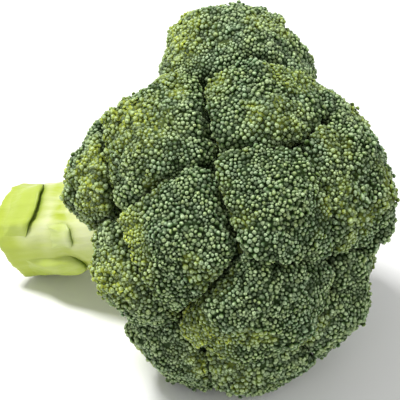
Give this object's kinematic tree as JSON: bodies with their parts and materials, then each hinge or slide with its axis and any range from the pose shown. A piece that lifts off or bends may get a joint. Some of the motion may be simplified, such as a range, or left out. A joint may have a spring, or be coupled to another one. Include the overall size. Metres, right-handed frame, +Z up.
{
  "type": "broccoli head",
  "caption": "Whole head of broccoli lying on its side, with domed florets on branches of one thick stalk and trimmed leaf bases near the cut end.",
  "frame": {"origin": "on the surface the head lies on, under the middle of its bounding box", "axes": "+Z up; +X from the cut end of the stalk towards the tip of the crown, along the head's longest extent; -Y is the front"},
  "size_m": [0.1696, 0.1278, 0.1298],
  "materials": {
    "buds": "satin",
    "stalk": "satin",
    "leaf_base": "satin"
  },
  "bodies": {
    "root": {"stalk": "stalk", "leaf_base_upper": "leaf_base", "leaf_base_front": "leaf_base", "leaf_base_lower": "leaf_base", "leaf_base_back": "leaf_base", "floret_top_large": "buds", "floret_top_middle": "buds", "floret_top_back": "buds", "floret_front_upper": "buds", "floret_stalk_side_upper": "buds", "floret_stalk_side_front": "buds", "floret_front_middle": "buds", "floret_tip_front": "buds", "floret_tip_middle": "buds", "floret_tip_inner": "buds", "floret_tip_back": "buds", "floret_front_lower": "buds", "floret_tip_lower": "buds", "floret_stalk_side_lower": "buds", "floret_bottom_front": "buds", "floret_bottom_back": "buds", "floret_back_tip": "buds", "floret_back_lower": "buds", "floret_back_upper": "buds", "floret_under_middle": "buds", "floret_stalk_side_back": "buds", "floret_under_back": "buds"}
  },
  "joints": []
}
